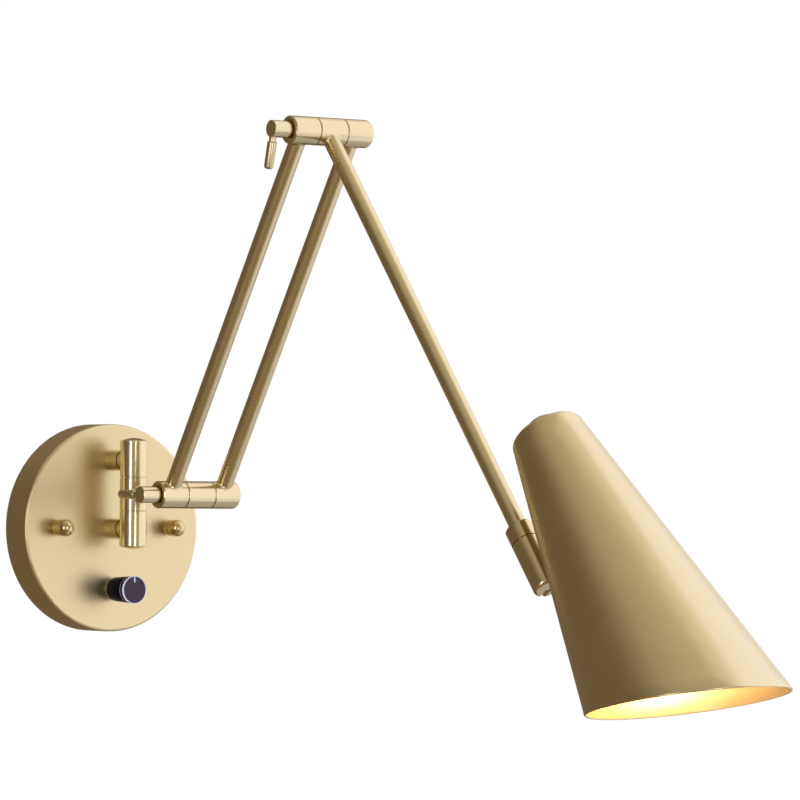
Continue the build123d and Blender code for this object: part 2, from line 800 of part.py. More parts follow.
with BuildPart() as shade:
    with BuildSketch(shade_profile) as shade_outline:
        Polygon(
            (0, top_u),
            (cone_radius(top_u), top_u),
            (cone_radius(long_u), long_u),
            (cone_radius(long_u) - slant_wall, long_u),
            (cone_radius(top_u + shade_wall) - slant_wall, top_u + shade_wall),
            (0, top_u + shade_wall),
            align=None,
        )
        corners = shade_outline.vertices()
        outer_corner = corners.sort_by_distance((cone_radius(top_u), top_u))[0]
        fillet(outer_corner, shade_top_round)
        corners = shade_outline.vertices()
        inner_top = (cone_radius(top_u + shade_wall) - slant_wall, top_u + shade_wall)
        fillet(corners.sort_by_distance(inner_top)[0], shade_top_round - shade_wall)
    revolve(axis=shade_axis)
    slant = radians(mouth_slant)
    mouth_plane = Plane(
        origin=shade_origin + shade_dir * mouth_u,
        x_dir=across,
        z_dir=shade_dir * cos(slant) + shade_back * sin(slant),
    )
    split(bisect_by=mouth_plane, keep=Keep.BOTTOM)
    with BuildSketch(square_to(shade_origin + shade_dir * top_u, shade_dir)):
        Circle(shade_nipple_dia / 2)
    extrude(amount=shade_wall, mode=Mode.SUBTRACT)
    for plane in rivet_planes:
        with BuildSketch(plane.offset(-2 * shade_wall)):
            Circle(rivet_dia / 2)
        extrude(amount=3 * shade_wall, mode=Mode.SUBTRACT)

foot_plane = Plane(
    origin=shade_origin,
    x_dir=shade_back.rotate(Axis((0, 0, 0), shade_dir), -foot_arc / 2),
    z_dir=Vector(-1, 0, 0).rotate(Axis((0, 0, 0), shade_dir), -foot_arc / 2),
)
foot_half = foot_length / 2
foot_lift = foot_thick / cos(radians(shade_half_angle))

with BuildPart() as shade_tab:
    with BuildSketch(shade_profile):
        with Locations((pivot_offset, 0)):
            Circle(tab_eye_dia / 2)
        with Locations(((pivot_offset + cone_radius(0)) / 2, 0)):
            Rectangle(pivot_offset - cone_radius(0), tab_height)
    extrude(amount=tab_thick / 2, both=True)
    with BuildSketch(foot_plane):
        Polygon(
            (cone_radius(-foot_half), -foot_half),
            (cone_radius(foot_half), foot_half),
            (cone_radius(foot_half) + foot_lift, foot_half),
            (cone_radius(-foot_half) + foot_lift, -foot_half),
            align=None,
        )
    revolve(axis=shade_axis, revolution_arc=foot_arc)
    with BuildSketch(shade_profile):
        Polygon(
            (0, -foot_length),
            (cone_radius(-foot_length), -foot_length),
            (cone_radius(foot_length), foot_length),
            (0, foot_length),
            align=None,
        )
    revolve(axis=shade_axis, mode=Mode.SUBTRACT)
    with BuildSketch(Plane(origin=tilt_point, x_dir=(0, 1, 0), z_dir=across)):
        Circle(tilt_screw_dia / 2 + tilt_bore_gap)
    extrude(amount=tab_thick, both=True, mode=Mode.SUBTRACT)
    for plane in rivet_planes:
        with BuildSketch(plane.offset(-shade_wall)):
            Circle(rivet_dia / 2)
        extrude(amount=shade_wall + 2 * foot_thick, mode=Mode.SUBTRACT)

with BuildPart() as tab_rivets:
    for plane in rivet_planes:
        with BuildSketch(plane.offset(-shade_wall - rivet_sink)):
            Circle(rivet_dia / 2)
        extrude(amount=shade_wall + rivet_sink + foot_thick)
        with BuildSketch(plane.offset(foot_thick)):
            Circle(rivet_head_dia / 2)
        extrude(amount=rivet_head_height, taper=30)
        with BuildSketch(plane.offset(-shade_wall - rivet_sink)):
            Circle(rivet_head_dia / 2)
        extrude(amount=-rivet_head_height, taper=30)

with BuildPart() as shade_top_cap:
    with BuildSketch(square_to(shade_origin + shade_dir * top_u, shade_dir)):
        Circle(top_cap_dia / 2)
    extrude(amount=-top_cap_height)
    cap_rims = shade_top_cap.edges().filter_by(GeomType.CIRCLE)
    fillet(cap_rims.sort_by_distance(tilt_point)[-1], top_cap_round)
    with BuildSketch(square_to(shade_origin + shade_dir * top_u, shade_dir)):
        Circle(shade_nipple_dia / 2)
    extrude(amount=-nipple_in_cap, mode=Mode.SUBTRACT)


def shade_station(u):
    """The plane across the shade's axis at a station u."""
    return square_to(shade_origin + shade_dir * u, shade_dir)


with BuildPart() as shade_nipple:
    with BuildSketch(shade_station(top_u - nipple_in_cap)):
        Circle(shade_nipple_dia / 2)
        Circle(shade_nipple_bore / 2, mode=Mode.SUBTRACT)
    extrude(amount=nipple_in_cap + shade_wall + nipple_in_holder)

with BuildPart() as lamp_holder:
    with BuildSketch(shade_station(holder_u)):
        Circle(holder_dia / 2)
    extrude(amount=holder_length)
    chamfer(lamp_holder.edges().filter_by(GeomType.CIRCLE), edge_break)
    with BuildSketch(shade_station(holder_u)):
        Circle(shade_nipple_dia / 2)
    extrude(amount=nipple_in_holder, mode=Mode.SUBTRACT)
    with BuildSketch(shade_station(holder_u + holder_floor)):
        Circle(holder_bore / 2)
    extrude(amount=holder_length - holder_floor, mode=Mode.SUBTRACT)

base_u = holder_end_u - bulb_base_length
neck_end_u = holder_end_u + bulb_neck_length
bulb_r = bulb_dia / 2
bulb_centre_u = neck_end_u + (bulb_r**2 - bulb_neck_dia**2 / 4) ** 0.5
bulb_end_u = bulb_centre_u + bulb_r

with BuildPart() as bulb_base:
    with BuildSketch(shade_station(base_u)):
        Circle(bulb_base_dia / 2)
    extrude(amount=bulb_base_length)
    with BuildSketch(shade_station(base_u)):
        Circle(bulb_base_dia / 4)
    extrude(amount=-(base_u - holder_u - holder_floor))

with BuildPart() as bulb_glass:
    for shrink, mode in ((0, Mode.ADD), (bulb_wall, Mode.SUBTRACT)):
        with BuildSketch(shade_profile):
            with Locations((0, bulb_centre_u)):
                Circle(bulb_r - shrink)
            neck_mid = (holder_end_u + bulb_centre_u) / 2
            with Locations((0, neck_mid)):
                Rectangle(bulb_neck_dia - 2 * shrink, bulb_centre_u - holder_end_u - 2 * shrink)
            with Locations((-bulb_r, bulb_centre_u)):
                Rectangle(bulb_dia, 3 * bulb_dia, mode=Mode.SUBTRACT)
        revolve(axis=shade_axis, mode=mode)


# =====================  write the pieces  =====================
pieces = {
    "canopy_pan": canopy_pan,
    "wall_crossbar": wall_crossbar,
    "stud_screws": stud_screws,
    "cap_nuts": cap_nuts,
    "earth_screw": earth_screw,
    "terminal_block": terminal_block,
    "dimmer_body": dimmer_body,
    "dimmer_nut": dimmer_nut,
    "dimmer_shaft": dimmer_shaft,
    "dimmer_knob": dimmer_knob,
    "knob_band": knob_band,
    "knob_bezel": knob_bezel,
    "knob_pointer": knob_pointer,
    "standoff_posts": standoff_posts,
    "post_nipples": post_nipples,
    "post_nuts": post_nuts,
    "low_knuckle": low_knuckle,
    "high_knuckle": high_knuckle,
    "pivot_rod": pivot_rod,
    "barrel_caps": barrel_caps,
    "base_washers": base_washers,
    "swivel_knuckle": swivel_knuckle,
    "swing_stub": swing_stub,
    "lower_middle_knuckle": lower_middle_knuckle,
    "lower_left_knuckle": lower_left_knuckle,
    "lower_right_knuckle": lower_right_knuckle,
    "lower_washers": lower_washers,
    "lower_clamp_pin": lower_clamp_pin,
    "lower_clamp_lever": lower_clamp_lever,
    "lower_left_tube": lower_left_tube,
    "lower_right_tube": lower_right_tube,
    "elbow_left_knuckle": elbow_left_knuckle,
    "elbow_right_knuckle": elbow_right_knuckle,
    "elbow_washers": elbow_washers,
    "elbow_clamp_pin": elbow_clamp_pin,
    "elbow_clamp_lever": elbow_clamp_lever,
    "elbow_middle_knuckle": elbow_middle_knuckle,
    "upper_tube": upper_tube,
    "arm_collar": arm_collar,
    "swivel_bolt": swivel_bolt,
    "swivel_washer": swivel_washer,
    "head_fork": head_fork,
    "tilt_screw": tilt_screw,
    "shade_tab": shade_tab,
    "tab_rivets": tab_rivets,
    "shade": shade,
    "shade_top_cap": shade_top_cap,
    "shade_nipple": shade_nipple,
    "lamp_holder": lamp_holder,
    "bulb_base": bulb_base,
    "bulb_glass": bulb_glass,
}
for name, piece in pieces.items():
    piece.part.label = name
    export_step(piece.part, f"parts/{name}.step")

print("lower hinge", [round(v, 2) for v in lower_hinge])
print("elbow", [round(v, 2) for v in elbow])
print("tilt point", [round(v, 2) for v in tilt_point])
print("bulb end to mouth", round(mouth_u - bulb_end_u, 2))
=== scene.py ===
# %% [markdown]
# # A folding swing-arm wall light in satin gold
#
# The real object is a wall light on a two-stage arm. A round canopy carries an upright hinge
# barrel on two posts. A stub swings round that barrel and ends in a lying barrel. Two tubes
# rise from it to the elbow barrel, and a single tube comes down from there to the head, where
# a fork and a tab hold a long conical shade with a slanted mouth.
#
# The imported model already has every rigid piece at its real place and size, so it is loaded
# first and never moved. This lesson then works on what the eye meets: the finish of each piece,
# and the few surfaces that need softer edges than a machined solid has.

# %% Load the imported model
import json

import bpy
import numpy as np
from mathutils import Matrix


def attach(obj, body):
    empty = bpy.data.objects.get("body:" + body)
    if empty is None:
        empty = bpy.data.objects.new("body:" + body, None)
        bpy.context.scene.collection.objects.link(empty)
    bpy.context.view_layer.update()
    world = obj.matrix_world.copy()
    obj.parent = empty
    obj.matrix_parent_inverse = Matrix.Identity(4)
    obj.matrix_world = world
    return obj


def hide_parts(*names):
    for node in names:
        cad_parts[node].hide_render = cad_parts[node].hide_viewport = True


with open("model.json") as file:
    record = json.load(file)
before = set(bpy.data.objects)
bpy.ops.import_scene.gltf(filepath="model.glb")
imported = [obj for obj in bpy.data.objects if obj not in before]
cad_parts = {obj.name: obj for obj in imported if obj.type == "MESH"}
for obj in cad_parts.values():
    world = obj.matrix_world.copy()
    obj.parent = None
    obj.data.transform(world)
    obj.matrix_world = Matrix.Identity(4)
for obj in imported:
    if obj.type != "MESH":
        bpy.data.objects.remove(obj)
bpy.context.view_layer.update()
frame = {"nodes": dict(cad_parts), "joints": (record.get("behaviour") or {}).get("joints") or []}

nodes = frame["nodes"]
joints = {joint["name"]: joint for joint in frame["joints"]}
MM = 0.001
print("pieces in the packed model:", len(nodes))

# %% [markdown]
# ## Where the light hangs
#
# All new pieces need the hinge lines of the lamp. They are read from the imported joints, so a
# surface made here lands on the same axes as the solids do.

# %% Directions and hinge points
ACROSS = np.array([1.0, 0.0, 0.0])


def in_plane(angle_deg):
    """A unit vector in the arm's plane, at an angle from straight down towards the room."""
    angle = np.radians(angle_deg)
    return np.array([0.0, -np.sin(angle), -np.cos(angle)])


lower_hinge = np.array(joints["lower_hinge"]["pos_m"])
elbow = np.array(joints["elbow_hinge"]["pos_m"])
tilt_point = np.array(joints["shade_tilt"]["pos_m"])
lower_dir = (elbow - lower_hinge) / np.linalg.norm(elbow - lower_hinge)
upper_dir = (tilt_point - elbow) / np.linalg.norm(tilt_point - elbow)

SHADE_TILT = 38.7
PIVOT_OFFSET = 48 * MM
shade_dir = in_plane(SHADE_TILT)
shade_back = np.cross(ACROSS, shade_dir)
shade_origin = tilt_point - shade_back * PIVOT_OFFSET
print("shade axis points", shade_dir.round(3), "and its back faces", shade_back.round(3))

# %% [markdown]
# ## Camera
#
# The view is that of a long lens from the left of the lamp, a little below its middle. Back,
# right and up are unit vectors worked out from azimuth, elevation and roll, and they become the
# columns of the camera's matrix.

# %% Camera at the photograph's angle
CAMERA_PLACE = (-1.62598, -2.42115, 0.02620)
AZIMUTH, ELEVATION, ROLL = np.radians([-37.388, -0.972, 0.459])
SENSOR_MM = 36.0
FOCAL_PIXELS = 5000.0
IMAGE_PIXELS = 800.0

back = np.array(
    [
        np.sin(AZIMUTH) * np.cos(ELEVATION),
        -np.cos(AZIMUTH) * np.cos(ELEVATION),
        np.sin(ELEVATION),
    ]
)
level_right = np.cross([0.0, 0.0, 1.0], back)
level_right /= np.linalg.norm(level_right)
level_up = np.cross(back, level_right)
camera_right = np.cos(ROLL) * level_right + np.sin(ROLL) * level_up
camera_up = np.cos(ROLL) * level_up - np.sin(ROLL) * level_right

camera_data = bpy.data.cameras.new("camera")
camera_data.sensor_width = SENSOR_MM
camera_data.lens = FOCAL_PIXELS / IMAGE_PIXELS * SENSOR_MM
camera = bpy.data.objects.new("camera", camera_data)
bpy.context.scene.collection.objects.link(camera)
placed = np.eye(4)
placed[:3, :3] = np.column_stack([camera_right, camera_up, back])
placed[:3, 3] = CAMERA_PLACE
camera.matrix_world = Matrix(placed.tolist())
bpy.context.scene.camera = camera
bpy.context.scene.view_settings.view_transform = "Standard"
print("lens", camera_data.lens, "mm")

# %% [markdown]
# ## Shader maths that reads like maths
#
# A finish is a small network of nodes. Linked by hand, even a short formula fills a page, so a
# `Wire` wraps the output of a node and its operators add the Math nodes. A `Recipe` holds the
# node tree of one material, or of the world, and adds any node with one method.

# %% A wire that can be added and multiplied, and the tree that it runs in


class Wire:
    """The output of a node. A sum or product with it adds a Math node and gives a new wire."""

    def __init__(self, recipe, socket):
        self.recipe = recipe
        self.socket = socket

    def math(self, operation, first, second):
        return self.recipe.node("ShaderNodeMath", {"operation": operation}, {0: first, 1: second})

    def __add__(self, other):
        return self.math("ADD", self, other)

    def __sub__(self, other):
        return self.math("SUBTRACT", self, other)

    def __rsub__(self, other):
        return self.math("SUBTRACT", other, self)

    def __mul__(self, other):
        return self.math("MULTIPLY", self, other)

    __radd__ = __add__
    __rmul__ = __mul__


class Recipe:
    """The node tree of a material or a world, with one method that adds any node."""

    def __init__(self, owner, **constants):
        owner.use_nodes = True
        self.owner = owner
        self.tree = owner.node_tree
        self.shader = next(n for n in self.tree.nodes if n.type in ("BSDF_PRINCIPLED", "BACKGROUND"))
        for name, value in constants.items():
            self.shader.inputs[name.replace("_", " ")].default_value = value

    def node(self, kind, settings=(), inputs=(), output=0):
        """Adds a node: its settings first, then a value or a wire for each socket."""
        made = self.tree.nodes.new(kind)
        for name, value in dict(settings).items():
            setattr(made, name, value)
        for name, value in dict(inputs).items():
            if isinstance(value, Wire):
                self.tree.links.new(value.socket, made.inputs[name])
            else:
                made.inputs[name].default_value = value
        return Wire(self, made.outputs[output])

    def feed(self, name, wire):
        """Links a wire to a socket of the tree's own shader."""
        self.tree.links.new(wire.socket, self.shader.inputs[name])


# %% [markdown]
# ## Satin gold
#
# Every metal part that shows has the same soft gold finish: bare metal under a thin, slightly
# frosted lacquer. The cap nuts get a darker, redder copy of it, which is painted shade. What tells
# the parts apart is how each was made. The canopy and the shade are sprayed pressings with a
# very fine grain. The tubes were drawn, so faint streaks run along them.
# Knuckles, pins and nuts were turned, so fine rings run round them. All three share one recipe:
# a slow noise varies colour and roughness, and a height made from grain, streaks or rings goes
# through a Bump node.

# %% The satin gold recipe
LIGHT_GOLD = (0.69, 0.54, 0.285, 1.0)
DEEP_GOLD = (0.63, 0.49, 0.255, 1.0)


def mixed_colour(recipe, mask, low, high):
    """The colour low where the mask is 0 and high where it is 1."""
    mix = {"data_type": "RGBA"}
    return recipe.node("ShaderNodeMix", mix, {0: mask, 6: low, 7: high}, output=2)


def distance_along(recipe, place, axis):
    """How far a point lies along an axis: the dot product of its place and the axis."""
    dot = {"operation": "DOT_PRODUCT"}
    return recipe.node("ShaderNodeVectorMath", dot, {0: place, 1: tuple(axis)}, output=1)


def noise(recipe, place, scale, detail=2.0):
    """Noise that ranges around 0.5, at so many features a metre."""
    return recipe.node(
        "ShaderNodeTexNoise", {}, {"Vector": place, "Scale": scale, "Detail": detail}
    )


def bumped(recipe, height, depth):
    """Feeds the shader's normal with a height from 0 to 1 that is depth metres deep."""
    relief = recipe.node("ShaderNodeBump", {}, {"Distance": depth, "Height": height})
    recipe.feed("Normal", relief)


def satin_gold(
    name, axis=None, drawn=False, roughness=0.15, depth=0.0000025, low=DEEP_GOLD, high=LIGHT_GOLD
):
    """Gold under satin lacquer: sprayed, or turned or drawn along an axis."""
    gold = Recipe(bpy.data.materials.new(name), Metallic=1.0)
    place = gold.node("ShaderNodeTexCoord", output="Object")
    cloud = noise(gold, place, 38.0, 3.0)
    height = noise(gold, place, 2400.0)
    if axis is not None:
        along = distance_along(gold, place, axis)
        if drawn:
            scale = {"operation": "SCALE"}
            slip = gold.node(
                "ShaderNodeVectorMath", scale, {0: tuple(axis), "Scale": along * 0.985}
            )
            minus = {"operation": "SUBTRACT"}
            across = gold.node("ShaderNodeVectorMath", minus, {0: place, 1: slip})
            lines = noise(gold, across, 1500.0, 3.0)
        else:
            rings = {"noise_dimensions": "1D"}
            lines = gold.node(
                "ShaderNodeTexNoise", rings, {"W": along, "Scale": 2600.0, "Detail": 3.0}
            )
        height = height * 0.35 + lines * 0.65
    gold.feed("Base Color", mixed_colour(gold, cloud, low, high))
    gold.feed("Roughness", cloud * 0.07 + height * 0.05 + roughness)
    bumped(gold, height, depth)
    return gold.owner


sprayed_gold = satin_gold("sprayed gold", roughness=0.22, depth=0.00001)
canopy_gold = satin_gold(
    "sprayed gold canopy",
    roughness=0.30,
    depth=0.00001,
    low=(0.625, 0.48, 0.235, 1.0),
    high=(0.685, 0.525, 0.265, 1.0),
)
turned_across = satin_gold("turned gold across", ACROSS)
turned_upright = satin_gold("turned gold upright", (0, 0, 1))
turned_outward = satin_gold("turned gold outward", (0, 1, 0))
turned_along_arm = satin_gold("turned gold along the arm", upper_dir)
turned_on_shade = satin_gold("turned gold on the shade", shade_dir)
drawn_lower = satin_gold("drawn gold lower arm", lower_dir, drawn=True, roughness=0.22)
drawn_upper = satin_gold("drawn gold upper arm", upper_dir, drawn=True, roughness=0.22)
drawn_stub = satin_gold("drawn gold stub", (0, 1, 0), drawn=True, roughness=0.22)
# The nuts get a darker, redder copy of the gold: painted shade that stands in for the dark
# surroundings their domes reflect.
nut_gold_darkened_as_shade = satin_gold(
    "turned gold nuts darkened as painted shade",
    (0, 1, 0),
    roughness=0.18,
    low=(0.52, 0.36, 0.15, 1.0),
    high=(0.66, 0.48, 0.22, 1.0),
)
print("gold finishes:", len([m for m in bpy.data.materials if "gold" in m.name]))

# %% [markdown]
# ## Plastic, steel and glass
#
# The knob is black plastic with a navy tint. It has a ring in its front corner coloured pale white
# as a painted highlight, a slightly brown face that is partly its own colour and partly a painted
# reflection, and a white mark. Behind the canopy and inside the shade are zinc-plated steel, pale
# and dark moulded plastic and a frosted bulb. The bulb is lit, so its glass gives warm light.

# %% The other finishes


def moulded(name, colour, roughness, **constants):
    """Moulded plastic: a faint cloud in its gloss and a very fine moulded grain."""
    plastic = Recipe(bpy.data.materials.new(name), **constants)
    place = plastic.node("ShaderNodeTexCoord", output="Object")
    cloud = noise(plastic, place, 90.0, 3.0)
    low = tuple(0.92 * part for part in colour) + (1.0,)
    plastic.feed("Base Color", mixed_colour(plastic, cloud, low, colour + (1.0,)))
    plastic.feed("Roughness", cloud * 0.06 + roughness)
    bumped(plastic, noise(plastic, place, 3000.0), 0.000004)
    return plastic.owner


def plated(name, colour, roughness, axis):
    """Plated steel with fine rings round an axis and slightly cloudy plating."""
    steel = Recipe(bpy.data.materials.new(name), Metallic=1.0)
    place = steel.node("ShaderNodeTexCoord", output="Object")
    cloud = noise(steel, place, 160.0, 4.0)
    rings = steel.node(
        "ShaderNodeTexNoise",
        {"noise_dimensions": "1D"},
        {"W": distance_along(steel, place, axis), "Scale": 2200.0, "Detail": 2.0},
    )
    low = tuple(0.8 * part for part in colour) + (1.0,)
    steel.feed("Base Color", mixed_colour(steel, cloud, low, colour + (1.0,)))
    steel.feed("Roughness", cloud * 0.12 + roughness)
    bumped(steel, rings, 0.000008)
    return steel.owner


black_gloss = moulded("black gloss", (0.0018, 0.0022, 0.009), 0.30, Specular_IOR_Level=0.03)
# The face's lighter brownish purple is partly its own colour and partly a painted reflection.
knob_face_with_painted_reflection = moulded("knob face with painted reflection", (0.080, 0.056, 0.066), 0.45, Specular_IOR_Level=0.03)
grey_band = moulded("grey band", (0.26, 0.26, 0.28), 0.22)
white_mark = moulded("white mark", (0.86, 0.86, 0.86), 0.45)
pale_plastic = moulded("pale plastic", (0.80, 0.79, 0.74), 0.42)
dark_plastic = moulded("dark plastic", (0.03, 0.03, 0.03), 0.40)
zinc_steel = plated("zinc steel", (0.62, 0.62, 0.63), 0.30, (0, 1, 0))
zinc_upright = plated("zinc steel upright", (0.62, 0.62, 0.63), 0.30, (0, 0, 1))
zinc_on_shade = plated("zinc steel on the shade", (0.62, 0.62, 0.63), 0.30, shade_dir)
# The ring gets a pale white plastic colour so that it shows as a bright line: a painted highlight on
# a real ring.
ring_pale_as_painted_highlight = moulded("ring pale as painted highlight", (0.88, 0.88, 0.90), 0.25)

GLOW = (1.0, 0.86, 0.62, 1.0)
lit_glass = Recipe(
    bpy.data.materials.new("lit frosted glass"), Emission_Strength=12.0, Roughness=0.35
)
glass_place = lit_glass.node("ShaderNodeTexCoord", output="Object")
frosting = noise(lit_glass, glass_place, 900.0, 3.0)
lit_glass.feed(
    "Base Color", mixed_colour(lit_glass, frosting, (0.9, 0.86, 0.78, 1.0), (1.0, 0.96, 0.88, 1.0))
)
lit_glass.feed("Emission Color", mixed_colour(lit_glass, frosting, GLOW, (1.0, 0.89, 0.68, 1.0)))
bumped(lit_glass, frosting, 0.000008)

inner_gold = Recipe(bpy.data.materials.new("inner shade lacquer"), Metallic=0.4, Roughness=0.4)
inner_place = inner_gold.node("ShaderNodeTexCoord", output="Object")
inner_cloud = noise(inner_gold, inner_place, 60.0, 3.0)
inner_gold.feed(
    "Base Color",
    mixed_colour(inner_gold, inner_cloud, (0.74, 0.52, 0.20, 1.0), (0.82, 0.60, 0.26, 1.0)),
)
bumped(inner_gold, noise(inner_gold, inner_place, 2400.0), 0.00001)
print("materials:", len(bpy.data.materials))

# %% [markdown]
# ## Every solid gets its finish
#
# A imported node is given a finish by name. The direction of its turning or drawing marks follows
# the axis that the real piece was turned or drawn on.

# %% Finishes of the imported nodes
finish_of = {
    "canopy_pan": canopy_gold,
    "wall_crossbar": zinc_steel,
    "stud_screws": zinc_steel,
    "cap_nuts": nut_gold_darkened_as_shade,
    "earth_screw": turned_outward,
    "terminal_block": pale_plastic,
    "dimmer_body": dark_plastic,
    "dimmer_nut": zinc_steel,
    "dimmer_shaft": zinc_steel,
    "dimmer_knob": black_gloss,
    "knob_band": grey_band,
    "knob_bezel": ring_pale_as_painted_highlight,
    "knob_pointer": white_mark,
    "standoff_posts": turned_outward,
    "post_nipples": zinc_steel,
    "post_nuts": zinc_steel,
    "low_knuckle": turned_upright,
    "high_knuckle": turned_upright,
    "swivel_knuckle": turned_upright,
    "barrel_caps": turned_upright,
    "pivot_rod": zinc_upright,
    "swing_stub": drawn_stub,
    "lower_left_tube": drawn_lower,
    "lower_right_tube": drawn_lower,
    "upper_tube": drawn_upper,
    "arm_collar": turned_along_arm,
    "head_fork": turned_along_arm,
    "swivel_bolt": zinc_steel,
    "tilt_screw": turned_across,
    "shade_tab": sprayed_gold,
    "tab_rivets": turned_on_shade,
    "shade": sprayed_gold,
    "shade_top_cap": turned_on_shade,
    "shade_nipple": zinc_on_shade,
    "lamp_holder": dark_plastic,
    "bulb_base": zinc_on_shade,
    "bulb_glass": lit_glass.owner,
}
for barrel in ("lower", "elbow"):
    for piece in ("left_knuckle", "right_knuckle", "middle_knuckle", "clamp_pin", "clamp_lever"):
        finish_of[f"{barrel}_{piece}"] = turned_across
    finish_of[f"{barrel}_washers"] = turned_across
finish_of["base_washers"], finish_of["swivel_washer"] = turned_upright, turned_along_arm

for name, obj in nodes.items():
    obj.data.materials.clear()
    obj.data.materials.append(finish_of[name])
print("finished nodes:", len(finish_of))

# %% [markdown]
# ## Surfaces from a profile
#
# Most soft-edged pieces here are turned or spun, so each is a profile carried round an axis: rows
# run along the profile and columns go round. Whole arrays are worked out at once. A profile
# that ends on the axis closes there in a pole, and one that comes back to its start makes a ring.

# %% Helpers that make a closed surface
import bmesh


def around(count):
    """Equal angles round a full turn, without the last one, which is the first again."""
    return np.linspace(0.0, 2.0 * np.pi, count, endpoint=False)


def quads(rows, columns, ring):
    """Corner numbers of the faces between rows. A ring also joins its last row to its first."""
    row = np.arange(rows if ring else rows - 1)[:, None]
    column = np.arange(columns)[None, :]
    here, above = row * columns, (row + 1) % rows * columns
    beside = (column + 1) % columns
    faces = np.stack([here + column, here + beside, above + beside, above + column], axis=-1)
    return faces.reshape(-1, 4)


def closed_surface(name, grids, body, finish, replaced=(), ring=False):
    """One mesh from grids of points (rows, columns, 3), welded at poles and facing outwards."""
    points, faces, start = [], [], 0
    for grid in grids:
        rows, columns = grid.shape[:2]
        points.append(grid.reshape(-1, 3))
        faces.append(quads(rows, columns, ring) + start)
        start += rows * columns
    mesh = bpy.data.meshes.new(name)
    mesh.from_pydata(np.concatenate(points).tolist(), [], np.concatenate(faces).tolist())
    work = bmesh.new()
    work.from_mesh(mesh)
    bmesh.ops.remove_doubles(work, verts=work.verts, dist=1e-7)
    bmesh.ops.recalc_face_normals(work, faces=work.faces)
    work.to_mesh(mesh)
    work.free()
    mesh.shade_smooth()
    mesh.materials.append(finish)
    obj = bpy.data.objects.new(name, mesh)
    bpy.context.scene.collection.objects.link(obj)
    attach(obj, body)
    if replaced:
        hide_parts(*replaced)
    return obj


def rounded(corners, steps=5):
    """A profile from corners (along, radius, rounding). Each corner with a rounding becomes an
    arc-like curve: the quadratic blend of the points one rounding before and after it."""
    corners = np.array(corners, dtype=float)
    out = [corners[0, :2]]
    for before, corner, after in zip(corners[:-2], corners[1:-1], corners[2:]):
        middle, reach = corner[:2], corner[2]
        if reach == 0.0:
            out.append(middle)
            continue
        into = (before[:2] - middle) / np.linalg.norm(before[:2] - middle)
        away = (after[:2] - middle) / np.linalg.norm(after[:2] - middle)
        first, last = middle + into * reach, middle + away * reach
        blend = np.linspace(0.0, 1.0, steps)[:, None]
        centre_weight = 2.0 * blend * (1.0 - blend)
        # The true arc lies a little inside the quadratic curve, so the middle weighs less.
        soft = 0.83 * middle + 0.17 * (first + last) / 2.0
        out.extend((1.0 - blend) ** 2 * first + centre_weight * soft + blend**2 * last)
    out.append(corners[-1, :2])
    return np.array(out)


def turned(profile, origin, axis, side=ACROSS, columns=96):
    """Points of a turned surface: origin + along x axis + radius x (cos side + sin other)."""
    axis, side = np.asarray(axis, float), np.asarray(side, float)
    other = np.cross(axis, side)
    angle = around(columns)[None, :, None]
    along, radius = profile[:, 0][:, None, None], profile[:, 1][:, None, None]
    return origin + along * axis + radius * (np.cos(angle) * side + np.sin(angle) * other)


def face_places(obj):
    """The centre and the normal of every face, as two arrays of three columns."""
    centres = np.empty(len(obj.data.polygons) * 3)
    facings = np.empty_like(centres)
    obj.data.polygons.foreach_get("center", centres)
    obj.data.polygons.foreach_get("normal", facings)
    return centres.reshape(-1, 3), facings.reshape(-1, 3)


def squared_off(wave, power=0.35):
    """A sine or cosine drawn towards a square wave: its sign times its size to a power."""
    return np.sign(wave) * np.abs(wave) ** power


# %% [markdown]
# ## The shade
#
# The real shade is spun from thin sheet, with a rounded shoulder at the top, and its mouth is
# cut on a slant and hemmed. A profile alone can't have a slanted mouth, so each column of the
# surface gets its own length: the height where the slanted plane meets the cone on that side.
# The rows then go up the outside, over the hem and back along the inner wall.

# %% Shade shell with its slanted, hemmed mouth
SHADE_HALF_ANGLE = np.radians(9.76)
SHADE_SLOPE = np.tan(SHADE_HALF_ANGLE)
SHADE_TOP_R = 19.4 * MM
SHADE_TOP = -56.7 * MM
SHADE_MOUTH = SHADE_TOP + 173.7 * MM
MOUTH_SLANT = np.radians(27.9)
SHADE_WALL = 1.2 * MM
SHOULDER = 2.6 * MM
SHADE_COLUMNS = 160
SHADE_ROWS = 26


def cone_radius(u):
    """Outer radius of the shade at a distance u along its axis from the tilt hinge."""
    return SHADE_TOP_R + (u - SHADE_TOP) * SHADE_SLOPE


def mouth_at(angle):
    """Where the mouth's plane meets the middle of the wall, at an angle round the shade."""
    wall_at_zero = cone_radius(0.0) - SHADE_WALL / 2.0 / np.cos(SHADE_HALF_ANGLE)
    lean = np.cos(angle) * np.sin(MOUTH_SLANT)
    reach = SHADE_MOUTH * np.cos(MOUTH_SLANT) - wall_at_zero * lean
    return reach / (np.cos(MOUTH_SLANT) + SHADE_SLOPE * lean)


